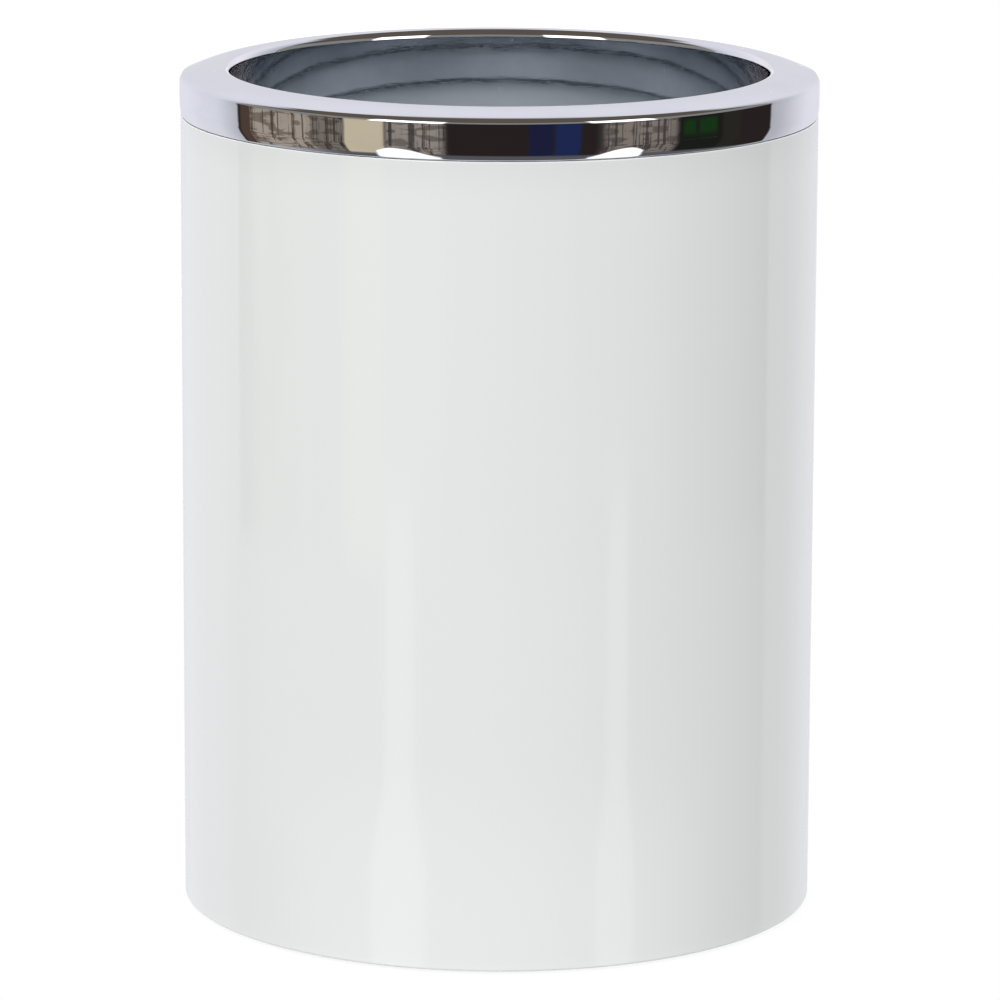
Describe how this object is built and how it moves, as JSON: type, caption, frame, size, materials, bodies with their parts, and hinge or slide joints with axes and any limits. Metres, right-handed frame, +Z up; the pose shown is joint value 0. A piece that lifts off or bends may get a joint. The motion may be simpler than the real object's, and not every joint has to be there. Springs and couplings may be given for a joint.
{
  "type": "pen holder cup",
  "caption": "Straight round desk cup with a double wall, a bright rounded trim ring round its mouth and soft pads underneath; pens stand upright in it.",
  "frame": {"origin": "on the desk plane, under the centre of the cup", "axes": "+Z up along the cup's axis, out of its mouth; X and Y lie in the desk plane, and the pads stand on the diagonals between them"},
  "size_m": [0.0752, 0.0752, 0.1],
  "materials": {
    "white_shell": "polished moulded white plastic",
    "plated_trim": "bright chrome plating on plastic",
    "white_liner": "fine satin white plastic",
    "white_base": "fine satin white plastic",
    "pad_rubber": "soft translucent grey pad"
  },
  "bodies": {
    "root": {"outer_sleeve": "white_shell", "trim_ring": "plated_trim", "inner_liner": "white_liner", "base_plate": "white_base", "foot_pads": "pad_rubber"}
  },
  "joints": []
}
